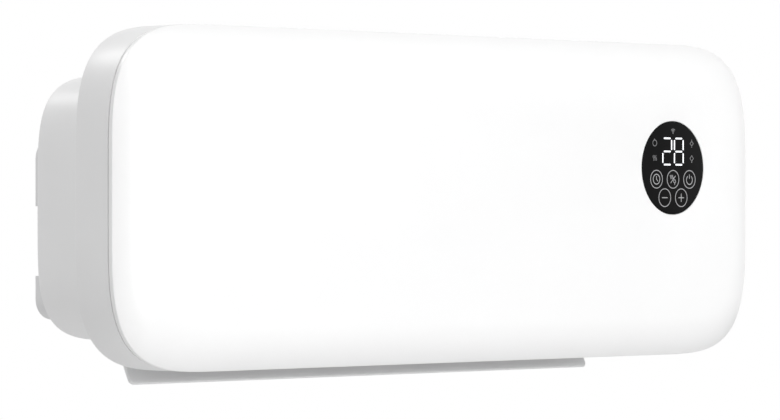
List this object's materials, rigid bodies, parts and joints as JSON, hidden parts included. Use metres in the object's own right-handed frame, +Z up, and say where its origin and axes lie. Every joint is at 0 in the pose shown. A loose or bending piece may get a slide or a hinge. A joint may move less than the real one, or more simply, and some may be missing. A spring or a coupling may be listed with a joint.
{
  "type": "bathroom wall fan heater",
  "caption": "Wall-hung fan heater: wide pillow-shaped front panel with a round touch display, rear housing with top inlet, cross-flow fan, heater bank and a motor-driven outlet flap.",
  "frame": {"origin": "on the wall bracket's back face, at mid-width and at the middle height of the front panel", "axes": "+X to the right of somebody facing the heater, along its length; +Y into the wall; +Z up"},
  "size_m": [0.592, 0.1264, 0.2257],
  "materials": {
    "panel_white": "smooth satin gloss",
    "casing_white": "satin moulded plastic",
    "flap_grey": "satin grey plastic",
    "glass_black": "polished black display glass",
    "zinc_steel": "zinc-plated",
    "powder_steel": "powder-coated sheet",
    "aluminium": "bright, as extruded",
    "dark_plastic": "black moulded plastic",
    "grey_plastic": "grey moulded plastic",
    "board_green": "solder mask",
    "copper": "enamelled winding",
    "rubber": "soft black rubber",
    "heatproof": "black heat-proof resin",
    "blue_plastic": "relay case",
    "yellow_plastic": "capacitor case"
  },
  "bodies": {
    "root": {"front_panel": "panel_white", "mid_casing": "casing_white", "rear_housing": "casing_white", "inlet_grille": "casing_white", "outlet_guard": "grey_plastic", "display_lens": "glass_black", "wall_bracket": "powder_steel", "touch_board": "board_green", "digit_module": "dark_plastic", "power_board": "board_green", "relay_1": "blue_plastic", "relay_2": "blue_plastic", "filter_capacitor": "yellow_plastic", "terminal_block": "grey_plastic", "cord_gland": "rubber", "switch_frame": "dark_plastic", "flap_motor": "zinc_steel", "scroll_rear": "grey_plastic", "scroll_front": "grey_plastic", "duct_end_left": "grey_plastic", "duct_end_right": "grey_plastic", "fan_bearing": "rubber", "motor_core": "zinc_steel", "motor_coil": "copper", "motor_bridge_inner": "aluminium", "motor_bridge_outer": "aluminium", "motor_screw_1": "zinc_steel", "motor_screw_2": "zinc_steel", "heater_tube_1": "aluminium", "heater_tube_2": "aluminium", "heater_fins_1": "aluminium", "heater_fins_2": "aluminium", "heater_fins_3": "aluminium", "heater_end_left": "heatproof", "heater_end_right": "heatproof", "thermal_cutout": "dark_plastic", "housing_screw_1": "zinc_steel", "housing_screw_2": "zinc_steel", "housing_screw_3": "zinc_steel", "housing_screw_4": "zinc_steel", "housing_screw_5": "zinc_steel", "housing_screw_6": "zinc_steel", "touch_spring_1": "zinc_steel", "touch_spring_2": "zinc_steel", "touch_spring_3": "zinc_steel", "touch_spring_4": "zinc_steel", "touch_spring_5": "zinc_steel", "board_screw_1": "zinc_steel", "board_screw_2": "zinc_steel", "board_screw_3": "zinc_steel", "board_screw_4": "zinc_steel"},
    "fan": {"fan_wheel": "grey_plastic", "motor_rotor": "zinc_steel", "fan_end_pin": "zinc_steel"},
    "flap": {"outlet_flap": "flap_grey"},
    "rocker": {"switch_rocker": "dark_plastic"}
  },
  "joints": [
    {"name": "fan_spin", "type": "hinge", "parent": "root", "child": "fan", "pos_m": [0, -0.048, 0.02], "axis": [1, 0, 0], "continuous": true},
    {"name": "flap_swing", "type": "hinge", "parent": "root", "child": "flap", "pos_m": [0, -0.0317, -0.0819], "axis": [1, 0, 0], "range_deg": [-68, 14]},
    {"name": "switch_tilt", "type": "hinge", "parent": "root", "child": "rocker", "pos_m": [0.2663, -0.046, -0.006], "axis": [0, 0, 1], "range_deg": [0, 20]}
  ]
}
